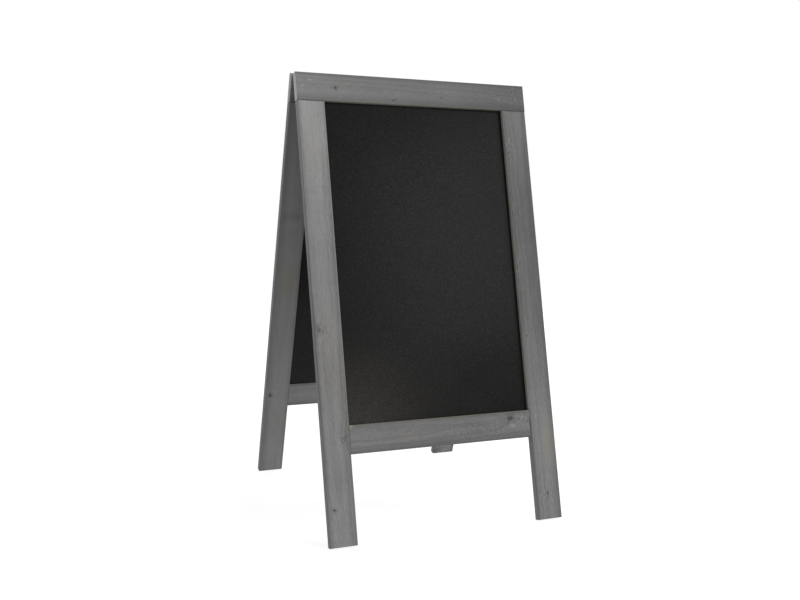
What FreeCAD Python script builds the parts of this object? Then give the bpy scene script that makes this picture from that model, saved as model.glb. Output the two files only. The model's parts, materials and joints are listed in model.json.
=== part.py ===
# Folding A-frame chalkboard sign: two equal frames of planed laths, each with a writing board
# in grooves, joined at the ridge by two butt hinges whose knuckles stop the opening.
import FreeCAD, Part
import Sketcher
import math
import os
import re

# Driving dimensions in millimetres, with angles in degrees
SIZES = {
    "frame_width": 640,
    "frame_length": 1155,
    "lath_thickness": 18,
    "leg_width": 70,
    "top_rail_width": 70,
    "bottom_rail_width": 70,
    "foot_length": 215,
    "edge_radius": 2,
    "lean": 15.3,
    "board_thickness": 3,
    "board_recess": 12,
    "board_end_play": 0.5,
    "groove_depth": 8,
    "groove_play": 0.15,
    "dowel_diameter": 8,
    "dowel_length": 40,
    "dowel_spacing": 26,
    "dowel_play": 0.05,
    "dowel_end_play": 1,
    "dowel_chamfer": 1,
    "hinge_inset": 120,
    "axis_rise": 3,
    "leaf_length": 76,
    "leaf_height": 36,
    "leaf_thickness": 2,
    "leaf_corner": 3,
    "pin_diameter": 5,
    "pin_play": 0.05,
    "pin_overhang": 1,
    "pin_chamfer": 0.6,
    "knuckle_gap": 0.4,
    "knuckle_clearance": 0.5,
    "curl_angle": 295,
    "stop_play": 1.5,
    "screw_diameter": 4,
    "screw_length": 16,
    "screw_head": 8,
    "screw_point": 5,
    "screw_play": 0.1,
    "screw_spacing": 25,
    "screw_low_row": 26,
    "screw_high_row": 15,
    "slot_length": 4.4,
    "slot_width": 1,
    "slot_depth": 1.2,
    "pilot_end_play": 0.5,
}

# Values that follow from the driving dimensions
OPENING_WIDTH = "(frame_width - 2 * leg_width)"
LEG_LENGTH = "(frame_length - top_rail_width)"
RAIL_TOP = "(foot_length + bottom_rail_width)"
OPENING_HEIGHT = f"({LEG_LENGTH} - {RAIL_TOP})"
BOARD_FRONT = "(board_recess - lath_thickness / 2)"
BOARD_BACK = f"({BOARD_FRONT} + board_thickness)"
BOARD_GRIP = "(groove_depth - board_end_play)"
DOWEL_DEPTH = "(dowel_length / 2 + dowel_end_play)"
BORE_RADIUS = "(pin_diameter / 2 + pin_play)"
KNUCKLE_RADIUS = f"({BORE_RADIUS} + leaf_thickness)"
LEAF_TOP = f"({KNUCKLE_RADIUS} + knuckle_clearance)"
HINGE_X = "(frame_width / 2 - hinge_inset)"
AXIS_HEIGHT = f"((frame_length + axis_rise) * cos(lean) - {KNUCKLE_RADIUS} * sin(lean))"
STOP_CURL = "(90 - lean - stop_play / 2)"

# Along the hinge there are five knuckles, the middle one shared by both leaves as the stop
KNUCKLES = 5
FRONT_CURLS = (0, 4)
REAR_CURLS = (1, 3)
STOP_KNUCKLE = 2

document = FreeCAD.newDocument("a_frame_sign")
sheet = document.addObject("Spreadsheet::Sheet", "sizes")
for row, (name, value) in enumerate(SIZES.items(), start=1):
    sheet.set(f"A{row}", name)
    sheet.set(f"B{row}", str(value))
    sheet.setAlias(f"B{row}", name)
document.recompute()


def linked(text):
    """The expression with each size's name pointed at its cell in the sheet."""
    return re.sub(r"[a-z_]+", lambda word: f"sizes.{word[0]}" if word[0] in SIZES else word[0], text)


def bind(item, prop, text):
    item.setExpression(prop, linked(text))


# Sketches

def new_sketch(body, role, name, offset):
    """A sketch on one of the body's own planes, moved along that plane's normal."""
    sketch = body.newObject("Sketcher::SketchObject", name)
    plane = next(item for item in body.Origin.OriginFeatures if item.Role == role)
    sketch.AttachmentSupport = [(plane, "")]
    sketch.MapMode = "FlatFace"
    bind(sketch, "AttachmentOffset.Base.z", offset)
    return sketch


def measure(sketch, kind, geometry, point, start, text):
    """A signed distance from the sketch's origin to a point, bound to an expression."""
    index = sketch.addConstraint(Sketcher.Constraint(kind, -1, 1, geometry, point, start))
    bind(sketch, f"Constraints[{index}]", text)


def polygon(sketch, points):
    """A closed outline of straight lines, given as start positions; returns its first line."""
    first = sketch.GeometryCount
    corners = [FreeCAD.Vector(x, y, 0) for x, y in points]
    for here, there in zip(corners, corners[1:] + corners[:1]):
        sketch.addGeometry(Part.LineSegment(here, there))
    for step in range(len(points)):
        following = first + (step + 1) % len(points)
        sketch.addConstraint(Sketcher.Constraint("Coincident", first + step, 2, following, 1))
    return first


def rectangle(sketch, x_one, x_two, y_one, y_two):
    first = polygon(sketch, [(-1, -1), (1, -1), (1, 1), (-1, 1)])
    for line in (first, first + 2):
        sketch.addConstraint(Sketcher.Constraint("Horizontal", line))
    for line in (first + 1, first + 3):
        sketch.addConstraint(Sketcher.Constraint("Vertical", line))
    measure(sketch, "DistanceX", first, 1, -1, x_one)
    measure(sketch, "DistanceY", first, 1, -1, y_one)
    measure(sketch, "DistanceX", first + 2, 1, 1, x_two)
    measure(sketch, "DistanceY", first + 2, 1, 1, y_two)


def circle(sketch, x, y, diameter):
    """A circle at x, y; None keeps its centre on the sketch's own axis."""
    start = FreeCAD.Vector(0 if x is None else 1, 0 if y is None else 1, 0)
    index = sketch.addGeometry(Part.Circle(start, FreeCAD.Vector(0, 0, 1), 1))
    for kind, place, axis in (("DistanceX", x, -2), ("DistanceY", y, -1)):
        if place is None:
            sketch.addConstraint(Sketcher.Constraint("PointOnObject", index, 3, axis))
        else:
            measure(sketch, kind, index, 3, 1, place)
    size = sketch.addConstraint(Sketcher.Constraint("Diameter", index, 2))
    bind(sketch, f"Constraints[{size}]", diameter)


# Features

def new_body(label):
    body = document.addObject("PartDesign::Body", label)
    body.Label = label
    body.AllowCompound = True
    return body


def pad(body, sketch, length):
    feature = body.newObject("PartDesign::Pad", sketch.Name + "_pad")
    feature.Profile = sketch
    bind(feature, "Length", length)
    return feature


def pocket(body, sketch, depth, along_normal):
    feature = body.newObject("PartDesign::Pocket", sketch.Name + "_cut")
    feature.Profile = sketch
    feature.Reversed = along_normal
    bind(feature, "Length", depth)
    return feature


def edges_along(feature, direction):
    """Names of the straight edges that run along a direction."""
    names = []
    for number, edge in enumerate(feature.Shape.Edges, start=1):
        straight = isinstance(edge.Curve, Part.Line)
        if straight and edge.tangentAt(edge.FirstParameter).cross(direction).Length < 1e-6:
            names.append(f"Edge{number}")
    return names


def round_edges(body, feature, edges, radius):
    rounding = body.newObject("PartDesign::Fillet", feature.Name + "_round")
    rounding.Base = (feature, edges)
    bind(rounding, "Radius", radius)
    return rounding


def chamfer_ends(body, feature, size):
    """A chamfer on every circular edge of a round bar."""
    document.recompute()
    rims = [f"Edge{number}" for number, edge in enumerate(feature.Shape.Edges, start=1)
            if isinstance(edge.Curve, Part.Circle)]
    chamfer = body.newObject("PartDesign::Chamfer", feature.Name + "_chamfer")
    chamfer.Base = (feature, rims)
    bind(chamfer, "Size", size)


# Wooden pieces, drawn upright: x across the sign, y through the laths' middle, z up from the feet

def lath(label, role, offset, section, length):
    """A planed lath along the plane's normal, with its four long edges eased."""
    body = new_body(label)
    outline = new_sketch(body, role, label + "_section", offset)
    rectangle(outline, *section)
    bar = pad(body, outline, length)
    document.recompute()
    direction = FreeCAD.Vector(1, 0, 0) if role == "YZ_Plane" else FreeCAD.Vector(0, 0, 1)
    round_edges(body, bar, edges_along(bar, direction), "edge_radius")
    return body


def groove(body, x_one, x_two, height, length, upward):
    """A groove for the board, drawn at a height and cut along the lath's height."""
    slot = new_sketch(body, "XY_Plane", body.Name + "_groove", height)
    rectangle(slot, x_one, x_two, f"{BOARD_FRONT} - groove_play", f"{BOARD_BACK} + groove_play")
    pocket(body, slot, length, upward)


def top_dowel_places(sides):
    """Distances from the centre line of the dowels between legs and top rail."""
    middle = "(frame_width / 2 - (leg_width - groove_depth) / 2)"
    return [f"{side} * ({middle} {shift} dowel_spacing / 2)" for side in sides for shift in "+-"]


def bottom_dowel_heights():
    """Heights of the dowels between the bottom rail and each leg."""
    middle = "(foot_length + (bottom_rail_width - groove_depth) / 2)"
    return [f"({middle} {shift} dowel_spacing / 2)" for shift in "+-"]


def top_dowel_sketch(body, name, offset, sides, diameter):
    sketch = new_sketch(body, "XY_Plane", name, offset)
    for x in top_dowel_places(sides):
        circle(sketch, x, None, diameter)
    return sketch


def bottom_dowel_sketch(body, name, offset, diameter):
    """Circles on a plane across the sign, where the sketch's x is depth and its y is height."""
    sketch = new_sketch(body, "YZ_Plane", name, offset)
    for height in bottom_dowel_heights():
        circle(sketch, None, height, diameter)
    return sketch


DOWEL_HOLE = "dowel_diameter + 2 * dowel_play"
SCREW_HOLE = "screw_diameter + 2 * screw_play"


def screw_places():
    """Places of a leaf's three screws: along the hinge from its middle, and below its axis."""
    return [
        ("-screw_spacing", "screw_low_row"),
        (None, "screw_high_row"),
        ("screw_spacing", "screw_low_row"),
    ]


def screw_places_on_rail():
    """The screws of both hinges: from the sign's centre line, and below the hinge axis."""
    return [(f"{side}{HINGE_X} + {along or 0}", below) for side in "-+" for along, below in screw_places()]


def make_leg(label, side):
    outer = f"{side} * frame_width / 2"
    inner = f"{side} * {OPENING_WIDTH} / 2"
    section = (outer, inner, "-lath_thickness / 2", "lath_thickness / 2")
    body = lath(label, "XY_Plane", "0", section, LEG_LENGTH)
    groove_floor = f"{side} * ({OPENING_WIDTH} / 2 + groove_depth)"
    groove(body, inner, groove_floor, LEG_LENGTH, f"{OPENING_HEIGHT} + groove_depth", False)
    top_holes = top_dowel_sketch(body, label + "_top_holes", LEG_LENGTH, [side], DOWEL_HOLE)
    pocket(body, top_holes, DOWEL_DEPTH, False)
    rail_holes = bottom_dowel_sketch(body, label + "_rail_holes", inner, DOWEL_HOLE)
    pocket(body, rail_holes, DOWEL_DEPTH, side > 0)
    return body


def make_top_rail(label):
    section = ("-lath_thickness / 2", "lath_thickness / 2", LEG_LENGTH, "frame_length")
    body = lath(label, "YZ_Plane", "-frame_width / 2", section, "frame_width")
    reach = f"({OPENING_WIDTH} / 2 + groove_depth)"
    groove(body, f"-{reach}", reach, LEG_LENGTH, "groove_depth", True)
    leg_holes = top_dowel_sketch(body, label + "_leg_holes", LEG_LENGTH, [-1, 1], DOWEL_HOLE)
    pocket(body, leg_holes, DOWEL_DEPTH, True)
    pilots = new_sketch(body, "XZ_Plane", label + "_pilots", "-lath_thickness / 2")
    for across, below in screw_places_on_rail():
        circle(pilots, across, f"frame_length + axis_rise - {below}", SCREW_HOLE)
    pocket(body, pilots, "screw_length - leaf_thickness + pilot_end_play", True)
    return body


def make_bottom_rail(label):
    section = ("-lath_thickness / 2", "lath_thickness / 2", "foot_length", RAIL_TOP)
    end = f"{OPENING_WIDTH} / 2"
    body = lath(label, "YZ_Plane", f"-{end}", section, OPENING_WIDTH)
    groove(body, f"-{end}", end, RAIL_TOP, "groove_depth", False)
    for name, place, along_normal in (("_left_holes", f"-{end}", True), ("_right_holes", end, False)):
        holes = bottom_dowel_sketch(body, label + name, place, DOWEL_HOLE)
        pocket(body, holes, DOWEL_DEPTH, along_normal)
    return body


def make_board(label):
    body = new_body(label)
    panel = new_sketch(body, "XZ_Plane", label + "_panel", f"-{BOARD_BACK}")
    reach = f"({OPENING_WIDTH} / 2 + {BOARD_GRIP})"
    rectangle(panel, f"-{reach}", reach, f"{RAIL_TOP} - {BOARD_GRIP}", f"{LEG_LENGTH} + {BOARD_GRIP}")
    pad(body, panel, "board_thickness")
    return body


def make_top_dowels(label):
    body = new_body(label)
    start = f"{LEG_LENGTH} - dowel_length / 2"
    sketch = top_dowel_sketch(body, label + "_rounds", start, [-1, 1], "dowel_diameter")
    chamfer_ends(body, pad(body, sketch, "dowel_length"), "dowel_chamfer")
    return body


def make_bottom_dowels(label):
    body = new_body(label)
    for name, end in (("_left", f"-{OPENING_WIDTH} / 2"), ("_right", f"{OPENING_WIDTH} / 2")):
        sketch = bottom_dowel_sketch(body, label + name, f"{end} - dowel_length / 2", "dowel_diameter")
        rounds = pad(body, sketch, "dowel_length")
    chamfer_ends(body, rounds, "dowel_chamfer")
    return body


# Hinges, drawn about the hinge axis: x along the axis, the leaf hanging below it on the -y side

def curl_sketch(body, name, offset, angle, start_angle):
    """The section of a knuckle: the leaf comes up, then curls over the pin through an angle."""
    sketch = new_sketch(body, "YZ_Plane", name, offset)
    bore = SIZES["pin_diameter"] / 2 + SIZES["pin_play"]
    radius = bore + SIZES["leaf_thickness"]
    low = -radius - 1
    sweep = math.radians(start_angle)
    up = FreeCAD.Vector(0, 0, 1)
    origin = FreeCAD.Vector(0, 0, 0)

    def end_of_curl(distance):
        return FreeCAD.Vector(-distance * math.cos(sweep), distance * math.sin(sweep), 0)

    back_low = FreeCAD.Vector(-radius, low, 0)
    face_low = FreeCAD.Vector(-bore, low, 0)
    back = sketch.addGeometry(Part.LineSegment(back_low, FreeCAD.Vector(-radius, 0, 0)))
    outer = sketch.addGeometry(Part.ArcOfCircle(Part.Circle(origin, up, radius), math.pi - sweep, math.pi))
    end = sketch.addGeometry(Part.LineSegment(end_of_curl(radius), end_of_curl(bore)))
    inner = sketch.addGeometry(Part.ArcOfCircle(Part.Circle(origin, up, bore), math.pi - sweep, math.pi))
    face = sketch.addGeometry(Part.LineSegment(FreeCAD.Vector(-bore, 0, 0), face_low))
    base = sketch.addGeometry(Part.LineSegment(face_low, back_low))
    joins = [(back, 2, outer, 2), (outer, 1, end, 1), (end, 2, inner, 1), (inner, 2, face, 1),
             (face, 2, base, 1), (base, 2, back, 1), (outer, 3, -1, 1), (inner, 3, -1, 1)]
    for join in joins:
        sketch.addConstraint(Sketcher.Constraint("Coincident", *join))
    for line in (back, face):
        sketch.addConstraint(Sketcher.Constraint("Vertical", line))
    sketch.addConstraint(Sketcher.Constraint("Horizontal", base))
    sketch.addConstraint(Sketcher.Constraint("PointOnObject", back, 2, -1))
    sketch.addConstraint(Sketcher.Constraint("PointOnObject", face, 1, -1))
    measure(sketch, "DistanceX", back, 2, -radius, f"-{KNUCKLE_RADIUS}")
    measure(sketch, "DistanceX", face, 1, -bore, f"-{BORE_RADIUS}")
    measure(sketch, "DistanceY", base, 1, low, f"-{LEAF_TOP} - leaf_thickness")
    for arc in (outer, inner):
        index = sketch.addConstraint(Sketcher.Constraint("Angle", arc, sweep))
        bind(sketch, f"Constraints[{index}]", f"{angle} * 1 deg")
    return sketch


def make_leaf(label, curls):
    """A hinge leaf: a plate with its own full knuckles, and a part-curled stop in the middle."""
    body = new_body(label)
    plate = new_sketch(body, "XZ_Plane", label + "_plate", BORE_RADIUS)
    rectangle(plate, "-leaf_length / 2", "leaf_length / 2", "-leaf_height", f"-{LEAF_TOP}")
    sheet_metal = pad(body, plate, "leaf_thickness")
    document.recompute()
    corners = [name for name in edges_along(sheet_metal, FreeCAD.Vector(0, 1, 0))
               if sheet_metal.Shape.getElement(name).CenterOfMass.z < -SIZES["leaf_height"] / 2]
    round_edges(body, sheet_metal, corners, "leaf_corner")
    pitch = f"leaf_length / {KNUCKLES}"
    stop = 90 - SIZES["lean"]
    knuckles = [(number, "curl_angle", SIZES["curl_angle"]) for number in curls]
    knuckles.append((STOP_KNUCKLE, STOP_CURL, stop))
    for number, angle, start_angle in knuckles:
        start = f"{number} * {pitch} - leaf_length / 2 + knuckle_gap / 2"
        section = curl_sketch(body, f"{label}_curl_{number}", start, angle, start_angle)
        pad(body, section, f"{pitch} - knuckle_gap")
    document.recompute()
    seats = new_sketch(body, "XZ_Plane", label + "_screw_seats", BORE_RADIUS)
    for along, below in screw_places():
        circle(seats, along, f"-{below}", SCREW_HOLE)
    document.recompute()
    hole = body.newObject("PartDesign::Hole", label + "_screw_holes")
    hole.Profile = seats
    hole.Reversed = True
    hole.Threaded = False
    hole.DepthType = "ThroughAll"
    hole.HoleCutType = "Countersink"
    bind(hole, "Diameter", SCREW_HOLE)
    bind(hole, "HoleCutDiameter", "screw_head + 2 * screw_play")
    hole.HoleCutCountersinkAngle = 90
    return body


def make_pin(label):
    body = new_body(label)
    section = new_sketch(body, "YZ_Plane", label + "_section", "-leaf_length / 2 - pin_overhang")
    circle(section, None, None, "pin_diameter")
    chamfer_ends(body, pad(body, section, "leaf_length + 2 * pin_overhang"), "pin_chamfer")
    return body


def make_screw(label):
    """One countersunk wood screw, its head's flat top at the origin and its point down."""
    body = new_body(label)
    profile = new_sketch(body, "XZ_Plane", label + "_profile", "0")
    head = SIZES["screw_head"] / 2
    shaft = SIZES["screw_diameter"] / 2
    tip = -SIZES["screw_length"]
    taper = tip + SIZES["screw_point"]
    top = polygon(profile, [(0, 0), (head, 0), (shaft, shaft - head), (shaft, taper), (0, tip)])
    cone, shank, point, axis = top + 1, top + 2, top + 3, top + 4
    profile.addConstraint(Sketcher.Constraint("Coincident", top, 1, -1, 1))
    profile.addConstraint(Sketcher.Constraint("Horizontal", top))
    profile.addConstraint(Sketcher.Constraint("Vertical", shank))
    profile.addConstraint(Sketcher.Constraint("Vertical", axis))
    measure(profile, "DistanceX", cone, 1, head, "screw_head / 2")
    measure(profile, "DistanceX", shank, 1, shaft, "screw_diameter / 2")
    measure(profile, "DistanceY", shank, 1, shaft - head, "-(screw_head - screw_diameter) / 2")
    measure(profile, "DistanceY", point, 1, taper, "-screw_length + screw_point")
    measure(profile, "DistanceY", axis, 1, tip, "-screw_length")
    turned = body.newObject("PartDesign::Revolution", label + "_turned")
    turned.Profile = profile
    turned.ReferenceAxis = (profile, ["V_Axis"])
    turned.Angle = 360
    slot = ("-slot_length / 2", "slot_length / 2", "-slot_width / 2", "slot_width / 2")
    for name, outline in (("_slot", slot), ("_cross_slot", slot[2:] + slot[:2])):
        cross = new_sketch(body, "XY_Plane", label + name, "0")
        rectangle(cross, *outline)
        pocket(body, cross, "slot_depth", False)
    return body


def make_screws(label, screw):
    """The six screws of one frame, as copies of one screw turned to point into the rail."""
    copies = []
    for number, (across, below) in enumerate(screw_places_on_rail(), start=1):
        copy = document.addObject("App::Link", f"{label}_{number}")
        copy.LinkedObject = screw
        seat = f"vector({across}; -{BORE_RADIUS}; -{below})"
        bind(copy, "Placement", f"placement({seat}; rotation(vector(1; 0; 0); -90))")
        copies.append(copy)
    group = document.addObject("Part::Compound", label)
    group.Label = label
    group.Links = copies
    return group


# Assembly: each frame leans about the hinge axis, and the rear frame is the front one turned round

FRONT_TILT = "rotation(vector(1; 0; 0); -lean)"
REAR_TILT = f"rotation(vector(0; 0; 1); 180) * {FRONT_TILT}"
WOOD_SHIFT = f"0; -({KNUCKLE_RADIUS} + lath_thickness / 2); -(frame_length + axis_rise)"
NO_TURN = "rotation(vector(0; 0; 1); 0)"
nodes = []


def place(item, tilt, shift):
    """Puts a piece drawn upright into its leaning frame, and adds it to the sign."""
    leaning = f"placement(vector(0; 0; {AXIS_HEIGHT}); {tilt})"
    bind(item, "Placement", f"{leaning} * placement(vector({shift}); {NO_TURN})")
    nodes.append(item)


def make_frame(frame, tilt, left_side, curls, screw):
    """One frame; left_side is the side of the upright drawing that ends up on the sign's left."""
    for hand, side in (("left", left_side), ("right", -left_side)):
        place(make_leg(f"{frame}_{hand}_leg", side), tilt, WOOD_SHIFT)
        place(make_leaf(f"{hand}_hinge_{frame}_leaf", curls), tilt, f"{side} * {HINGE_X}; 0; 0")
    place(make_top_rail(f"{frame}_top_rail"), tilt, WOOD_SHIFT)
    place(make_bottom_rail(f"{frame}_bottom_rail"), tilt, WOOD_SHIFT)
    place(make_board(f"{frame}_chalkboard"), tilt, WOOD_SHIFT)
    place(make_top_dowels(f"{frame}_top_dowels"), tilt, WOOD_SHIFT)
    place(make_bottom_dowels(f"{frame}_bottom_dowels"), tilt, WOOD_SHIFT)
    place(make_screws(f"{frame}_hinge_screws", screw), tilt, "0; 0; 0")


hinge_screw = make_screw("hinge_screw")
make_frame("front", FRONT_TILT, -1, FRONT_CURLS, hinge_screw)
make_frame("rear", REAR_TILT, 1, REAR_CURLS, hinge_screw)
for hand, side in (("left", -1), ("right", 1)):
    place(make_pin(f"{hand}_hinge_pin"), FRONT_TILT, f"{side} * {HINGE_X}; 0; 0")
document.recompute()

# Checks before writing

for item in document.Objects:
    if "Invalid" in item.State or "Error" in item.State:
        raise RuntimeError(f"{item.Name} failed: {item.State}")
    if item.TypeId in ("PartDesign::Pocket", "PartDesign::Hole"):
        if item.Shape.Volume >= item.BaseFeature.Shape.Volume:
            raise RuntimeError(f"{item.Name} cuts nothing")
for item in nodes:
    if item.Shape.isNull() or not item.Shape.isValid():
        raise RuntimeError(f"{item.Label} has no valid shape")

os.makedirs("parts", exist_ok=True)
for item in nodes:
    item.Shape.exportStep(f"parts/{item.Label}.step")
    print(item.Label, len(item.Shape.Solids), "solids", round(item.Shape.Volume / 1000, 2), "cm3")
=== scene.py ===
"""Looks of the chalkboard sidewalk sign: grey-stained laths, black writing boards and zinc-plated hinges."""
import json
import math
from collections import namedtuple
from functools import reduce

import bpy
from mathutils import Matrix, Vector

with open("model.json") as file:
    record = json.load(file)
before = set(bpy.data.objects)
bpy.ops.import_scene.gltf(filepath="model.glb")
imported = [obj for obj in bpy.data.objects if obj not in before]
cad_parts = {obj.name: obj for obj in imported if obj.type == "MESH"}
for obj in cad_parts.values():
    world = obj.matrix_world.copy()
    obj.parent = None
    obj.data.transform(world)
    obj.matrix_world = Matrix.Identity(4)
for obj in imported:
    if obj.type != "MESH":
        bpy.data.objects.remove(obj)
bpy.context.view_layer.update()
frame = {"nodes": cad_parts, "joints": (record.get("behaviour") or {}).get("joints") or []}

MILLIMETRE = 0.001
# Each frame leans by half the angle through which the sign folds flat
LEAN = math.radians(frame["joints"][0]["range_deg"][1] / 2)


def srgb(red, green, blue):
    """A colour given as 0 to 255 display values, as the linear values that shaders take."""
    linear = []
    for level in (red, green, blue):
        share = level / 255
        linear.append(share / 12.92 if share <= 0.04045 else ((share + 0.055) / 1.055) ** 2.4)
    return (*linear, 1.0)


# Shader graphs

class Field:
    """A number that varies over a surface. Arithmetic on it adds math nodes to its graph."""

    def __init__(self, graph, socket):
        self.graph = graph
        self.socket = socket

    def math(self, operation, other=0.0):
        return self.graph.math(operation, self, other)

    def __add__(self, other):
        return self.math("ADD", other)

    __radd__ = __add__

    def __sub__(self, other):
        return self.math("SUBTRACT", other)

    def __rsub__(self, other):
        return self.graph.math("SUBTRACT", other, self)

    def __mul__(self, other):
        return self.math("MULTIPLY", other)

    def __truediv__(self, other):
        return self.math("DIVIDE", other)

    def most(self, other):
        return self.math("MAXIMUM", other)

    def size(self):
        return self.math("ABSOLUTE")

    def fraction(self):
        return self.math("FRACT")

    def rise(self, low, high):
        """Eases from 0 at low to 1 at high."""
        return self.graph.ease(self, low, high, 0.0, 1.0)

    def fall(self, low, high):
        """Eases from 1 at low to 0 at high."""
        return self.graph.ease(self, low, high, 1.0, 0.0)


class Graph:
    """The node tree of a material or the world, with one short call for each kind of node."""

    def __init__(self, tree):
        self.tree = tree
        self.tree.nodes.clear()

    def node(self, kind, **settings):
        made = self.tree.nodes.new("ShaderNode" + kind)
        for setting, value in settings.items():
            setattr(made, setting, value)
        return made

    def feed(self, socket, value):
        """Links a socket to a field or to another socket, or sets it to a constant."""
        if isinstance(value, Field):
            value = value.socket
        if isinstance(value, bpy.types.NodeSocket):
            self.tree.links.new(value, socket)
        else:
            socket.default_value = value

    def position(self):
        """Place of the surface on the part, in metres."""
        return self.node("TexCoord").outputs["Object"]

    def normal(self):
        """Direction that the surface faces on the part."""
        return self.node("TexCoord").outputs["Normal"]

    def math(self, operation, first, second=0.0):
        made = self.node("Math", operation=operation)
        self.feed(made.inputs[0], first)
        self.feed(made.inputs[1], second)
        return Field(self, made.outputs[0])

    def ease(self, value, low, high, at_low, at_high):
        """Eases from one number at low to another at high."""
        made = self.node("MapRange", interpolation_type="SMOOTHSTEP")
        for socket, given in zip(made.inputs, (value, low, high, at_low, at_high)):
            self.feed(socket, given)
        return Field(self, made.outputs[0])

    def reach(self, vector, direction):
        """How far a vector reaches along a fixed direction."""
        made = self.node("VectorMath", operation="DOT_PRODUCT")
        self.feed(made.inputs[0], vector)
        self.feed(made.inputs[1], tuple(direction))
        return Field(self, made.outputs["Value"])

    def vector(self, x, y, z):
        made = self.node("CombineXYZ")
        for socket, value in zip(made.inputs, (x, y, z)):
            self.feed(socket, value)
        return made.outputs[0]

    def length(self, x, y):
        """Length of a flat vector, as a distance from a centre."""
        made = self.node("VectorMath", operation="LENGTH")
        self.feed(made.inputs[0], self.vector(x, y, 0.0))
        return Field(self, made.outputs["Value"])

    def noise(self, vector, detail, roughness):
        """Cloudy variation about zero, one cell for each unit of the vector."""
        made = self.node("TexNoise")
        self.feed(made.inputs["Vector"], vector)
        self.feed(made.inputs["Scale"], 1.0)
        self.feed(made.inputs["Detail"], detail)
        self.feed(made.inputs["Roughness"], roughness)
        return Field(self, made.outputs[0]) - 0.5

    def ramp(self, value, colours):
        """A colour read off a row of evenly spaced colours as a value goes from 0 to 1."""
        made = self.node("ValToRGB")
        elements = made.color_ramp.elements
        while len(elements) < len(colours):
            elements.new(1.0)
        for step, (element, colour) in enumerate(zip(elements, colours)):
            element.position = step / (len(colours) - 1)
            element.color = colour
        self.feed(made.inputs[0], value)
        return made.outputs[0]

    def course(self, share, levels):
        """A number that runs through evenly spaced levels as a share goes from 0 to 1."""
        return Field(self, self.ramp(share, [(level, level, level, 1.0) for level in levels]))

    def blend(self, share, first, second):
        """One colour turning into another as a field goes from 0 to 1."""
        made = self.node("Mix", data_type="RGBA")
        for socket, value in zip((made.inputs[0], made.inputs[6], made.inputs[7]), (share, first, second)):
            self.feed(socket, value)
        return made.outputs[2]

    def bump(self, height, depth):
        """Surface relief: a field from 0 to 1 stands for the given depth in millimetres."""
        made = self.node("Bump")
        self.feed(made.inputs["Strength"], 1.0)
        self.feed(made.inputs["Distance"], depth * MILLIMETRE)
        self.feed(made.inputs["Height"], height)
        return made.outputs[0]

    def seen_directly(self):
        """1 for rays from the camera, a mirror or a clear surface, and 0 for light that bounces."""
        path = self.node("LightPath")
        kinds = ("Is Camera Ray", "Is Glossy Ray", "Is Transmission Ray")
        return reduce(Field.most, [Field(self, path.outputs[kind]) for kind in kinds])

    def finish(self, shader, output="OutputMaterial"):
        self.feed(self.node(output).inputs["Surface"], shader.outputs[0])


def new_material(name, build, *given):
    """A material whose node tree is made by a function of its graph."""
    material = bpy.data.materials.new(name)
    material.use_nodes = True
    build(Graph(material.node_tree), *given)
    return material


def principled(graph, **sockets):
    """Ends a material with the standard shader; its sockets are given by name, with _ for each space."""
    shader = graph.node("BsdfPrincipled")
    for name, value in sockets.items():
        graph.feed(shader.inputs[name.replace("_", " ")], value)
    graph.finish(shader)


# Noise on a surface: a spot on it along three axes, and a figure with cells drawn out along the first axis.
# Both are in millimetres, and a figure's strength says how far it shifts what it is added to.
Spot = namedtuple("Spot", "along across depth")
Figure = namedtuple("Figure", "length width detail roughness strength", defaults=[1.0])
PART_AXES = ((1, 0, 0), (0, 1, 0), (0, 0, 1))
PART_ORIGIN = (0, 0, 0)


def spot_on(graph, axes=PART_AXES, starts=PART_ORIGIN):
    """Where the surface lies along three axes, from a start on each."""
    position = graph.position()
    return Spot(*[graph.reach(position, axis) / MILLIMETRE - start for axis, start in zip(axes, starts)])


def figure_noise(graph, spot, figure):
    """Noise about zero with the cells of a figure."""
    cells = graph.vector(spot.along / figure.length, spot.across / figure.width, spot.depth / figure.width)
    return graph.noise(cells, figure.detail, figure.roughness)


# Laths of grey-stained softwood. Places and sizes are in millimetres on the lath's outer face, seen from
# outside: along the grain from the upper or left end, and across it from the left or upper edge.
# Seed picks the lath's own stretch of figure, and contrast says how strongly that shows. Tone gives the
# stain's level at even steps along the lath, together with painted light and shade: how brightly the light
# falls along the lath. Side is added to it on the narrow sides as painted light and shade, for how the
# lamps reach them. Heart is the place of the log's heart, across the lath and in front of the face. Ends
# are how pale the end grain is on the sign's left and right; the paler left end is painted light.
Lath = namedtuple(
    "Lath", "upright seed tone side contrast heart knots marks patches rough ends", defaults=[None]
)
# Ovals on a lath: a knot with a dark core and halo, whose swirl pushes the grain aside; a mark that lifts
# the tone; a patch that took little stain; and rough grain, torn at a turn in degrees
Knot = namedtuple("Knot", "along across length width core halo swirl")
Mark = namedtuple("Mark", "along across length width lift")
Patch = namedtuple("Patch", "along across length width strength")
Rough = namedtuple("Rough", "along across length width turn strength")

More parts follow.
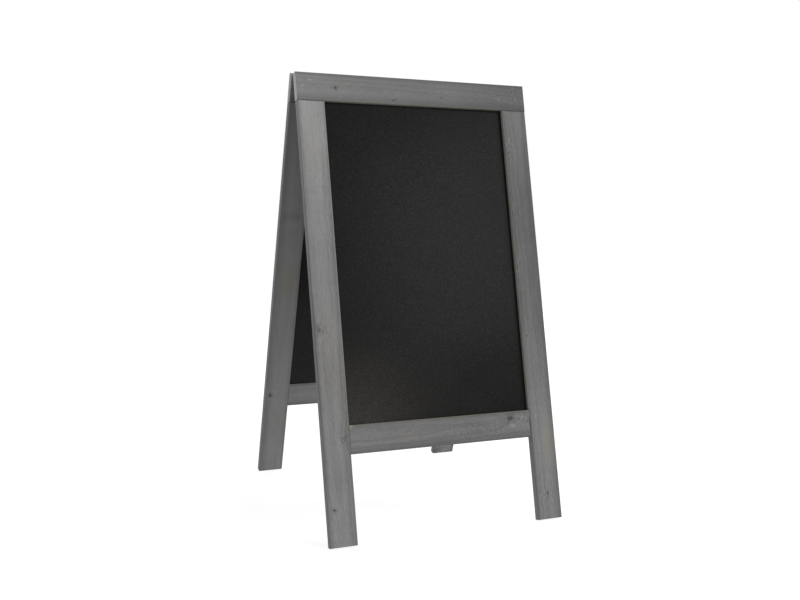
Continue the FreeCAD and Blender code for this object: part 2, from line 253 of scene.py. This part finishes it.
LATHS = {
    "front_top_rail": Lath(
        upright=False, seed=3100, side=0, contrast=0.9, heart=(52, 70),
        tone=(0.45, 0.3, 0.2, -0.05),
        knots=[Knot(102, 36, 15, 17, 1.0, 0.3, 3), Knot(604, -14, 48, 34, 0.0, 0.0, 16)],
        marks=[
            Mark(92, 34, 9, 5, -0.1), Mark(253, 60, 8, 7, -0.4), Mark(261, 58, 8, 7, -0.35),
            Mark(392, 46, 9, 7, -0.25), Mark(36, 19, 10, 5, 0.3), Mark(16, 34, 10, 5, 0.2),
            Mark(32, 34, 6, 4, 0.12), Mark(562, 41, 6, 12, 0.22), Mark(609, 7, 12, 5, 0.3),
            Mark(613, 38, 8, 6, 0.22),
        ],
        patches=[Patch(100, 36, 130, 44, 0.05)],
        rough=[
            Rough(616, 40, 90, 90, 40, 0.65), Rough(566, 36, 90, 60, 5, 0.4),
            Rough(34, 30, 60, 50, 15, 0.25), Rough(258, 58, 40, 20, 0, 0.5), Rough(390, 40, 160, 50, 4, 0.3),
        ],
        ends=(0.95, 0.3),
    ),
    "front_left_leg": Lath(
        upright=True, seed=11700, side=-0.05, contrast=1.4, heart=(30, 64),
        tone=(0.65, 0.45, 0.4, 0.5),
        knots=[
            Knot(566, 13, 25, 18, 0.6, 0.55, 8), Knot(828, 55, 22, 15, 0.3, 0.4, 8),
            Knot(997, 17, 14, 12, 0.95, 0.3, 3),
        ],
        marks=[
            Mark(0.5, 36, 6, 120, -0.6), Mark(80, 57, 220, 18, 0.1), Mark(217, 46, 7, 36, -0.08),
            Mark(545, 12, 14, 5, 0.08), Mark(582, 18, 16, 4, 0.08),
        ],
        patches=[Patch(120, 40, 260, 60, 0.1), Patch(630, 38, 400, 70, 0.06)],
        rough=[
            Rough(570, 18, 80, 40, 65, 0.6), Rough(830, 52, 60, 40, 60, 0.5),
            Rough(210, 36, 170, 70, 80, 0.25),
        ],
    ),
    "front_right_leg": Lath(
        upright=True, seed=23400, side=0.15, contrast=1.3, heart=(44, 58),
        tone=(0.2, 0.0, 0.1, 0.3, 0.35),
        knots=[
            Knot(98, 2, 44, 20, 0.0, 0.1, 10), Knot(265, -2, 34, 18, 0.0, 0.2, 9),
            Knot(410, 0, 34, 18, 0.0, 0.2, 9), Knot(448, 0, 24, 14, 0.0, 0.2, 6),
            Knot(606, 15, 10, 9, 0.9, 0.0, 2),
        ],
        marks=[
            Mark(0.5, 36, 6, 120, -0.4),
            Mark(96, 8, 40, 3, 0.2), Mark(84, 13, 26, 3, 0.15), Mark(268, 7, 30, 3, 0.25),
            Mark(282, 4, 16, 4, -0.3), Mark(408, 7, 26, 3, 0.2), Mark(420, 4, 14, 4, -0.3),
            Mark(450, 7, 22, 3, 0.2), Mark(458, 4, 12, 4, -0.25), Mark(1019, 34, 16, 5, -0.8),
            Mark(1032, 34, 12, 4, -0.15),
        ],
        patches=[Patch(890, 50, 150, 72, 0.17)],
        rough=[
            Rough(98, 14, 90, 34, -15, 1.1), Rough(268, 8, 60, 26, 0, 0.9), Rough(408, 9, 50, 26, 32, 1.1),
            Rough(448, 8, 50, 24, 28, 1.0), Rough(1030, 30, 120, 60, 0, 0.5),
            Rough(700, 36, 400, 70, 0, 0.3),
        ],
    ),
    "front_bottom_rail": Lath(
        upright=False, seed=37900, side=0, contrast=1.2, heart=(26, 66),
        tone=(0.35, 0.25, 0.25),
        knots=[Knot(442, 17, 30, 25, 1.0, 0.7, 14), Knot(484, 19, 24, 20, 0.0, 0.3, 10)],
        marks=[
            Mark(340, 30, 150, 70, -0.07), Mark(444, 18, 8, 9, -0.5), Mark(448, 36, 26, 14, 0.15),
            Mark(478, 16, 7, 18, 0.2), Mark(490, 22, 6, 16, 0.18), Mark(499.5, 46, 4, 60, -1.0),
        ],
        patches=[Patch(150, 40, 90, 34, 0.06), Patch(3, 2, 16, 12, 0.8)],
        rough=[
            Rough(395, 42, 110, 56, -50, 0.7), Rough(478, 24, 56, 60, 80, 0.8),
            Rough(300, 40, 180, 60, -12, 0.45), Rough(120, 36, 240, 60, 0, 0.35),
        ],
    ),
    "rear_top_rail": Lath(
        upright=False, seed=51300, side=0, contrast=1.2, heart=(20, 62),
        tone=(0.5, 0.5),
        knots=[Knot(212, 22, 22, 16, 0.5, 0.4, 9), Knot(430, 52, 6, 5, 0.8, 0.0, 2)],
        marks=[Mark(330, 30, 30, 3, -0.12), Mark(560, 14, 10, 4, 0.14)],
        patches=[Patch(230, 26, 140, 40, 0.14)],
        rough=[Rough(212, 24, 80, 50, 30, 0.6), Rough(480, 40, 160, 60, 4, 0.4)],
        ends=(0.6, 0.3),
    ),
    "rear_left_leg": Lath(
        upright=True, seed=64200, side=-0.2, contrast=0.7, heart=(38, 70),
        tone=(0.65, 0.7, 0.65),
        knots=[Knot(832, 55, 17, 14, 0.9, 0.4, 6), Knot(1050, 21, 28, 26, 0.0, 0.16, 8)],
        marks=[Mark(296, 36, 28, 80, -0.08), Mark(322, 36, 24, 80, 0.04), Mark(577, 8, 30, 8, 0.12)],
        patches=[Patch(470, 30, 150, 90, 0.28), Patch(905, 30, 80, 70, 0.1)],
        rough=[Rough(832, 50, 60, 40, 50, 0.5)],
    ),
    "rear_right_leg": Lath(
        upright=True, seed=79800, side=0, contrast=1.2, heart=(32, 60),
        tone=(0.5, 0.45),
        knots=[
            Knot(310, 20, 24, 17, 0.45, 0.4, 9), Knot(705, 50, 18, 14, 0.5, 0.4, 8),
            Knot(930, 24, 7, 6, 0.9, 0.0, 2),
        ],
        marks=[
            Mark(1062, 42, 4, 16, 0.3), Mark(1074, 36, 12, 5, 0.35), Mark(1068, 37, 16, 4, -0.35),
            Mark(540, 30, 34, 3, -0.12),
        ],
        patches=[Patch(330, 24, 150, 50, 0.16)],
        rough=[Rough(1060, 44, 70, 70, 30, 1.0), Rough(310, 22, 80, 50, 40, 0.5)],
    ),
    "rear_bottom_rail": Lath(
        upright=False, seed=92600, side=0, contrast=1.3, heart=(42, 64),
        tone=(0.6, 0.6),
        knots=[Knot(150, 46, 20, 16, 0.6, 0.4, 9)],
        marks=[Mark(300, 20, 36, 3, -0.12)],
        patches=[Patch(170, 40, 120, 44, 0.16)],
        rough=[Rough(150, 44, 80, 50, -40, 0.6), Rough(350, 30, 180, 60, 0, 0.4)],
    ),
}

# Stain from the darkest grain line, a tone of -DARK_GRAIN, to the palest fibre, a tone of 1
DARKEST_STAIN = 48
PALEST_STAIN = 168
STAIN_STEP = 24
STAIN = [
    srgb(level - 0.5, level, level + 1)
    for level in range(DARKEST_STAIN, PALEST_STAIN + 1, STAIN_STEP)
]
DARK_GRAIN = 0.25
LATE_WOOD_SHADE = 0.05
KNOT_WOOD = srgb(46, 46, 45)
BARE_WOOD = srgb(134, 128, 104)
# End grain: pale wood, with painted light making the left ends paler than the right
END_GRAIN_AND_PAINTED_LIGHT = srgb(194, 195, 196)
WOOD_RELIEF = 0.35

# Figure in the wood, and the flecks of torn grain and of knots
CLOUD = Figure(110, 45, 3.0, 0.5, 0.14)
STREAK = Figure(300, 2.8, 2.0, 0.5, 0.16)
FLECK = Figure(16, 4.0, 2.0, 0.7, 0.24)
FIBRE = Figure(60, 0.9, 3.0, 0.6, 0.14)
TORN_FLECK = Figure(9, 2.7, 1.0, 0.5)
KNOT_CLUMPS = Figure(9, 5, 1.0, 0.5)
KNOT_RIM = Figure(7, 4, 2.0, 0.5, 0.7)

# Growth rings in millimetres, and where late wood comes and goes as shares of a ring
RING_WIDTH = 5.2
RING_TAPER = 0.006
RING_SWIRL = 0.3
RING_WANDER = Figure(310, 110, 3.0, 0.5, 12)
BACKWARD_WANDER = 0.6
LATE_WOOD_START = (0.3, 0.88)
LATE_WOOD_END = (0.9, 1.0)

# Where ovals fade, as shares of the way from centre to rim, and the noise levels between clumps of a halo
KNOT_CORE = (0.2, 0.75)
KNOT_HALO = (0.6, 1.8)
KNOT_SWIRL = (0.4, 5.0)
ROUGH_RIM = (0.4, 1.1)
SOFT_RIM = (0.3, 1.1)
CLUMP_EDGE = (-0.08, 0.14)

# How squarely a surface faces outwards or inwards to be a face of the lath, or sideways to be its end
FACE_TURN = (0.3, 0.7)
END_TURN = (0.6, 0.8)

# Bands along the left or upper edge of a face and along the right or lower one, where the tone darkens
NEAR_EDGE_BAND = (0.0, 12.0)
FAR_EDGE_BAND = (0.0, 26.0)
EDGE_SHADE = 0.17

# Wood about the board: pale lips of the legs that are partly painted light, tan arrises, darker on the rails
# as painted shade, and painted shade on the walls beside the groove, deep in the recess
LIP_WOOD_AND_PAINTED_LIGHT = srgb(150, 148, 140)
LIP_BAND = (0.0, 1.5)
LIP_WAVER = 2.0
LIP_SHARE = 0.8
LEG_ARRIS = srgb(129, 125, 113)
RAIL_ARRIS_AND_PAINTED_SHADE = srgb(112, 100, 70)
ARRIS_BAND = (1.0, 2.5)
ARRIS_WEAR = 0.4
RECESS_PAINTED_SHADE = srgb(44, 41, 35)
RECESS_SHADE_BAND = (3.0, 5.5)
WALL_BAND = (0.1, 0.6)


def which_frame(node):
    """The frame that a lath or board belongs to, front or rear."""
    return node.split("_")[0]


def face_axes(node):
    """Directions on the outer face of a node's frame, seen from outside: right, down the slope, inwards."""
    side = 1 if which_frame(node) == "front" else -1
    right = Vector((side, 0, 0))
    down = Vector((0, -side * math.sin(LEAN), -math.cos(LEAN)))
    inward = Vector((0, side * math.cos(LEAN), -math.sin(LEAN)))
    return right, down, inward


def span(node, axis):
    """Where a node starts and ends along an axis, in millimetres."""
    places = [axis.dot(vertex.co) / MILLIMETRE for vertex in frame["nodes"][node].data.vertices]
    return min(places), max(places)


def oval(graph, spot, mark):
    """Distance from the centre of an oval mark, 1 at its rim."""
    along = (spot.along - mark.along) / (mark.length / 2)
    across = (spot.across - mark.across) / (mark.width / 2)
    return graph.length(along, across)


def knot_fields(graph, lath, spot, grain):
    """The shade of a lath's knots, and how far they push the grain aside in millimetres."""
    ragged = figure_noise(graph, grain, KNOT_RIM) * KNOT_RIM.strength
    clumps = figure_noise(graph, grain, KNOT_CLUMPS).rise(*CLUMP_EDGE)
    shades = []
    pushes = []
    for knot in lath.knots:
        distance = oval(graph, spot, knot) + ragged
        shades.append(distance.fall(*KNOT_CORE) * knot.core)
        shades.append(distance.fall(*KNOT_HALO) * clumps * knot.halo)
        pushes.append(distance.fall(*KNOT_SWIRL) * knot.swirl)
    return reduce(Field.most, shades), sum(pushes)


def rough_grain(graph, spot, grain, rough):
    """Short torn flecks within an oval, at an angle to the grain."""
    turn = math.radians(rough.turn)
    turned = grain._replace(
        along=grain.along * math.cos(turn) + grain.across * math.sin(turn),
        across=grain.across * math.cos(turn) - grain.along * math.sin(turn),
    )
    flecks = figure_noise(graph, turned, TORN_FLECK)
    return oval(graph, spot, rough).fall(*ROUGH_RIM) * flecks * rough.strength


def growth_rings(graph, lath, spot, grain, push):
    """Late wood of the rings about the heart of the log."""
    wander = figure_noise(graph, grain, RING_WANDER) * RING_WANDER.strength
    sideways = spot.across - lath.heart[0] + wander
    backwards = spot.depth + lath.heart[1] + wander * BACKWARD_WANDER
    radius = graph.length(sideways, backwards) + push * RING_SWIRL + grain.along * RING_TAPER
    ring = (radius / RING_WIDTH).fraction()
    return ring.rise(*LATE_WOOD_START) * ring.fall(*LATE_WOOD_END)


def beyond_opening(graph, node):
    """Distance outwards from the edge of the board's opening, along the frame's face, in millimetres."""
    side = which_frame(node)
    right, down, _ = face_axes(node)
    half_width = span(f"{side}_bottom_rail", right)[1]
    top = span(f"{side}_top_rail", down)[1]
    bottom = span(f"{side}_bottom_rail", down)[0]
    position = graph.position()
    sideways = graph.reach(position, right) / MILLIMETRE
    lengthways = graph.reach(position, down) / MILLIMETRE - (top + bottom) / 2
    return (sideways.size() - half_width).most(lengthways.size() - (bottom - top) / 2)


def wood_about_board(graph, node, lath, spot, fibre, colour):
    """Pale lips of the legs, partly painted light; arrises where the stain is rubbed through, darker on the
    rails as painted shade; and painted shade on the walls beside the groove.
    """
    beyond = beyond_opening(graph, node)
    # Pale lips of the legs: wood that took less stain, and painted light that brightens their groove walls
    if lath.upright:
        lip = (beyond + fibre * LIP_WAVER).fall(*LIP_BAND)
        colour = graph.blend(lip * LIP_SHARE, colour, LIP_WOOD_AND_PAINTED_LIGHT)
    # Arrises where the stain is rubbed through; the darker tan on the rails is also painted shade
    arris = beyond.fall(*ARRIS_BAND) * spot.depth.fall(*ARRIS_BAND)
    colour = graph.blend(arris * ARRIS_WEAR, colour, LEG_ARRIS if lath.upright else RAIL_ARRIS_AND_PAINTED_SHADE)
    # Painted shade: the walls beside the groove turn dark deep in the recess, next to the board
    inward = face_axes(node)[2]
    groove = sum(span(f"{which_frame(node)}_chalkboard", inward)) / 2 - span(node, inward)[0]
    painted_recess_shade = beyond.fall(*WALL_BAND) * (spot.depth - groove).size().fall(*RECESS_SHADE_BAND)
    return graph.blend(painted_recess_shade, colour, RECESS_PAINTED_SHADE)


def stained_wood(graph, node, lath):
    """Grey-stained softwood with growth rings that run through the lath, and its own knots and wear."""
    right, down, inward = face_axes(node)
    axes = (down, right, inward) if lath.upright else (right, down, inward)
    spans = [span(node, axis) for axis in axes]
    length, width, _ = [end - start for start, end in spans]
    spot = spot_on(graph, axes, [start for start, _ in spans])
    grain = spot._replace(along=spot.along + lath.seed)
    normal = graph.normal()
    face = graph.reach(normal, inward).size().rise(*FACE_TURN)

    # Grain, from broad to fine
    knots, push = knot_fields(graph, lath, spot, grain)
    late_wood = growth_rings(graph, lath, spot, grain, push)
    cloud = figure_noise(graph, grain, CLOUD)
    streak = figure_noise(graph, grain._replace(across=grain.across + push), STREAK)
    fleck = figure_noise(graph, grain, FLECK)
    fibre = figure_noise(graph, grain, FIBRE)
    lines = cloud * CLOUD.strength + streak * STREAK.strength + fleck * FLECK.strength
    lines = lines + fibre * FIBRE.strength - late_wood * LATE_WOOD_SHADE

    # Tone of the stain, with painted light and shade along the lath and on its narrow sides, darker along
    # the long edges of a face
    tone = graph.course(spot.along / length, lath.tone) + (1 - face) * lath.side + lines * lath.contrast
    tone = sum([oval(graph, spot, mark).fall(*SOFT_RIM) * mark.lift for mark in lath.marks], tone)
    tone = sum([rough_grain(graph, spot, grain, rough) for rough in lath.rough], tone)
    edges = spot.across.fall(*NEAR_EDGE_BAND) + (width - spot.across).fall(*FAR_EDGE_BAND)
    tone = tone - edges * face * EDGE_SHADE
    stain = graph.ramp((tone + DARK_GRAIN) / (1 + DARK_GRAIN), STAIN)

    # Warm patches that took little stain, pale end grain with painted light on its left ends, and the wood
    # about the board
    thin = [(oval(graph, spot, patch) + cloud).fall(*SOFT_RIM) * patch.strength for patch in lath.patches]
    colour = graph.blend(reduce(Field.most, thin), stain, BARE_WOOD)
    # End grain: pale wood, and painted light that makes the left ends paler than the right
    if lath.ends:
        end = graph.reach(normal, PART_AXES[0])
        pale = graph.ease(end, -END_TURN[1], END_TURN[1], *lath.ends) + fleck
        colour = graph.blend(end.size().rise(*END_TURN) * pale, colour, END_GRAIN_AND_PAINTED_LIGHT)
    colour = wood_about_board(graph, node, lath, spot, fibre, colour)
    relief = fibre * 0.5 + streak * 0.3 - late_wood * 0.35 - knots * 0.5
    principled(
        graph,
        Base_Color=graph.blend(knots, colour, KNOT_WOOD),
        Roughness=streak * 0.25 + fibre * 0.15 + 0.62,
        Specular_IOR_Level=0.3,
        Normal=graph.bump(relief, WOOD_RELIEF),
    )


# Lacquer, steel and dowel wood: their figure, and rows of colours from dark to pale about a middle one
MIDDLE = 0.5

PEBBLE = Figure(5.5, 5.5, 2.0, 0.6, 1.2)
DUST = Figure(110, 110, 4.0, 0.5, 0.3)
OUTER_LACQUER = [srgb(level, level, level) for level in (9, 23, 35)]
INNER_LACQUER = [srgb(level, level, level) for level in (30, 42, 52)]
LACQUER_RELIEF = 0.2
INWARD_TURN = (-0.5, 0.5)

ROLLED = Figure(16, 0.4, 3.0, 0.5, 0.7)
SPANGLE = Figure(5, 5, 2.0, 0.5, 0.8)
ZINC = [srgb(92, 95, 98), srgb(128, 131, 134), srgb(158, 160, 162)]
ZINC_RELIEF = 0.02

DOWEL_FIBRE = Figure(3, 3, 4.0, 0.5, 0.9)
DOWEL_FLECK = Figure(1.1, 1.1, 1.0, 0.5, 0.25)
DOWEL_FLECK_EDGE = (0.12, 0.25)
DOWEL_WOOD = [srgb(150, 112, 78), srgb(196, 158, 118), srgb(222, 190, 152)]
DOWEL_RELIEF = 0.1


def board_lacquer(graph, node):
    """Black chalkboard lacquer: a fine pebbled film with a dull sheen, paler on the inner side."""
    spot = spot_on(graph)
    pebble = figure_noise(graph, spot, PEBBLE)
    dust = figure_noise(graph, spot, DUST)
    tone = pebble * PEBBLE.strength + dust * DUST.strength + MIDDLE
    facing_in = graph.reach(graph.normal(), face_axes(node)[2]).rise(*INWARD_TURN)
    principled(
        graph,
        Base_Color=graph.blend(facing_in, graph.ramp(tone, OUTER_LACQUER), graph.ramp(tone, INNER_LACQUER)),
        Roughness=dust * 0.06 - pebble * 0.25 + 0.23,
        Specular_IOR_Level=0.047,
        Normal=graph.bump(pebble, LACQUER_RELIEF),
    )


def zinc_plate(graph):
    """Zinc-plated steel, rolled lengthways and lightly spangled."""
    spot = spot_on(graph)
    rolled = figure_noise(graph, spot, ROLLED)
    spangle = figure_noise(graph, spot, SPANGLE)
    principled(
        graph,
        Base_Color=graph.ramp(rolled * ROLLED.strength + spangle * SPANGLE.strength + MIDDLE, ZINC),
        Metallic=1.0,
        Roughness=rolled * 0.25 + spangle * 0.2 + 0.42,
        Normal=graph.bump(rolled, ZINC_RELIEF),
    )


def beech(graph):
    """Plain beech of the dowels, with its short dark flecks."""
    spot = spot_on(graph)
    fibre = figure_noise(graph, spot, DOWEL_FIBRE)
    fleck = figure_noise(graph, spot, DOWEL_FLECK).rise(*DOWEL_FLECK_EDGE)
    tone = fibre * DOWEL_FIBRE.strength - fleck * DOWEL_FLECK.strength + MIDDLE
    principled(
        graph,
        Base_Color=graph.ramp(tone, DOWEL_WOOD),
        Roughness=fibre * 0.2 + 0.6,
        Specular_IOR_Level=0.3,
        Normal=graph.bump(fibre, DOWEL_RELIEF),
    )


def paint_nodes():
    """Gives each node of the part its material."""
    steel = new_material("zinc_plate", zinc_plate)
    dowel_wood = new_material("beech", beech)
    for name, node in frame["nodes"].items():
        if name in LATHS:
            material = new_material(name + "_stain", stained_wood, name, LATHS[name])
        elif name.endswith("chalkboard"):
            material = new_material(name + "_lacquer", board_lacquer, name)
        else:
            material = dowel_wood if name.endswith("dowels") else steel
        for slot in node.material_slots:
            slot.material = material


# Camera, fitted to the corners and edges of the sign in the photograph
IMAGE_WIDTH = 800
IMAGE_HEIGHT = 600
FOCAL_PIXELS = 945.5
AXIS_PIXEL = (389.8, 336.9)
CAMERA_PLACE = Vector((-1.0285, -2.313, 0.8787))
CAMERA_YAW = math.radians(23.101)
CAMERA_PITCH = math.radians(-9.821)
CAMERA_ROLL = math.radians(1.383)
SENSOR_WIDTH = 36.0


def add_camera():
    data = bpy.data.cameras.new("camera")
    data.sensor_width = SENSOR_WIDTH
    data.lens = FOCAL_PIXELS / IMAGE_WIDTH * SENSOR_WIDTH
    data.shift_x = (IMAGE_WIDTH / 2 - AXIS_PIXEL[0]) / IMAGE_WIDTH
    data.shift_y = (AXIS_PIXEL[1] - IMAGE_HEIGHT / 2) / IMAGE_WIDTH
    camera = bpy.data.objects.new("camera", data)
    upright = Matrix.Rotation(math.radians(90), 4, "X")
    turn = Matrix.Rotation(-CAMERA_YAW, 4, "Z") @ upright @ Matrix.Rotation(CAMERA_PITCH, 4, "X")
    camera.matrix_world = Matrix.Translation(CAMERA_PLACE) @ turn @ Matrix.Rotation(CAMERA_ROLL, 4, "Z")
    bpy.context.scene.collection.objects.link(camera)
    bpy.context.scene.camera = camera


# Studio: softboxes in front and behind, an even white world and a pale floor
Softbox = namedtuple("Softbox", "name place aim size power colour")
WHITE = (1.0, 1.0, 1.0)
WARM = (1.0, 0.93, 0.84)
SOFTBOXES = [
    Softbox("key", (2.6, -1.6, 2.3), (0.0, -0.15, 0.6), (1.2, 1.2), 66, WHITE),
    Softbox("sheen", (1.6, -2.85, 2.05), (0.0, -0.15, 0.65), (0.95, 1.3), 17, WHITE),
    Softbox("glow", (0.7, -3.0, 0.93), (-0.2, -0.25, 0.35), (0.7, 0.5), 15, WARM),
    Softbox("back", (1.8, 2.9, 2.2), (0.0, 0.1, 0.6), (2.0, 1.6), 60, WHITE),
]
AMBIENT = 0.5
FLOOR_BOUNCE = 0.85
FLOOR_SHADE = 0.3
FLOOR_GLOW = 0.85
FLOOR_REACH = 60.0


def add_softbox(box):
    data = bpy.data.lights.new(box.name, "AREA")
    data.shape = "RECTANGLE"
    data.size, data.size_y = box.size
    data.energy = box.power
    data.color = box.colour
    lamp = bpy.data.objects.new(box.name, data)
    lamp.location = box.place
    lamp.rotation_euler = (Vector(box.aim) - Vector(box.place)).to_track_quat("-Z", "Y").to_euler()
    bpy.context.scene.collection.objects.link(lamp)


def add_world():
    """White where it is seen, and an even soft light on the object."""
    world = bpy.data.worlds.new("studio")
    world.use_nodes = True
    graph = Graph(world.node_tree)
    background = graph.node("Background")
    graph.feed(background.inputs["Color"], (*WHITE, 1.0))
    graph.feed(background.inputs["Strength"], graph.seen_directly() * (1 - AMBIENT) + AMBIENT)
    graph.finish(background, "OutputWorld")
    bpy.context.scene.world = world


def pale_floor(graph):
    """A matt floor that looks white away from the sign's shadow."""
    seen = graph.seen_directly()
    shade = graph.course(seen, (FLOOR_BOUNCE, FLOOR_SHADE))
    matt = graph.node("BsdfDiffuse")
    graph.feed(matt.inputs["Color"], shade)
    glow = graph.node("Emission")
    graph.feed(glow.inputs["Color"], (*WHITE, 1.0))
    graph.feed(glow.inputs["Strength"], seen * FLOOR_GLOW)
    both = graph.node("AddShader")
    graph.feed(both.inputs[0], matt.outputs[0])
    graph.feed(both.inputs[1], glow.outputs[0])
    graph.finish(both)


def add_floor():
    corners = [(x * FLOOR_REACH, y * FLOOR_REACH, 0.0) for x, y in ((-1, -1), (1, -1), (1, 1), (-1, 1))]
    mesh = bpy.data.meshes.new("floor")
    mesh.from_pydata(corners, [], [(0, 1, 2, 3)])
    material = new_material("pale_floor", pale_floor)
    material.cycles.emission_sampling = "NONE"
    mesh.materials.append(material)
    floor = bpy.data.objects.new("floor", mesh)
    bpy.context.scene.collection.objects.link(floor)


paint_nodes()
add_camera()
add_world()
add_floor()
for softbox in SOFTBOXES:
    add_softbox(softbox)
bpy.context.scene.view_settings.view_transform = "Standard"
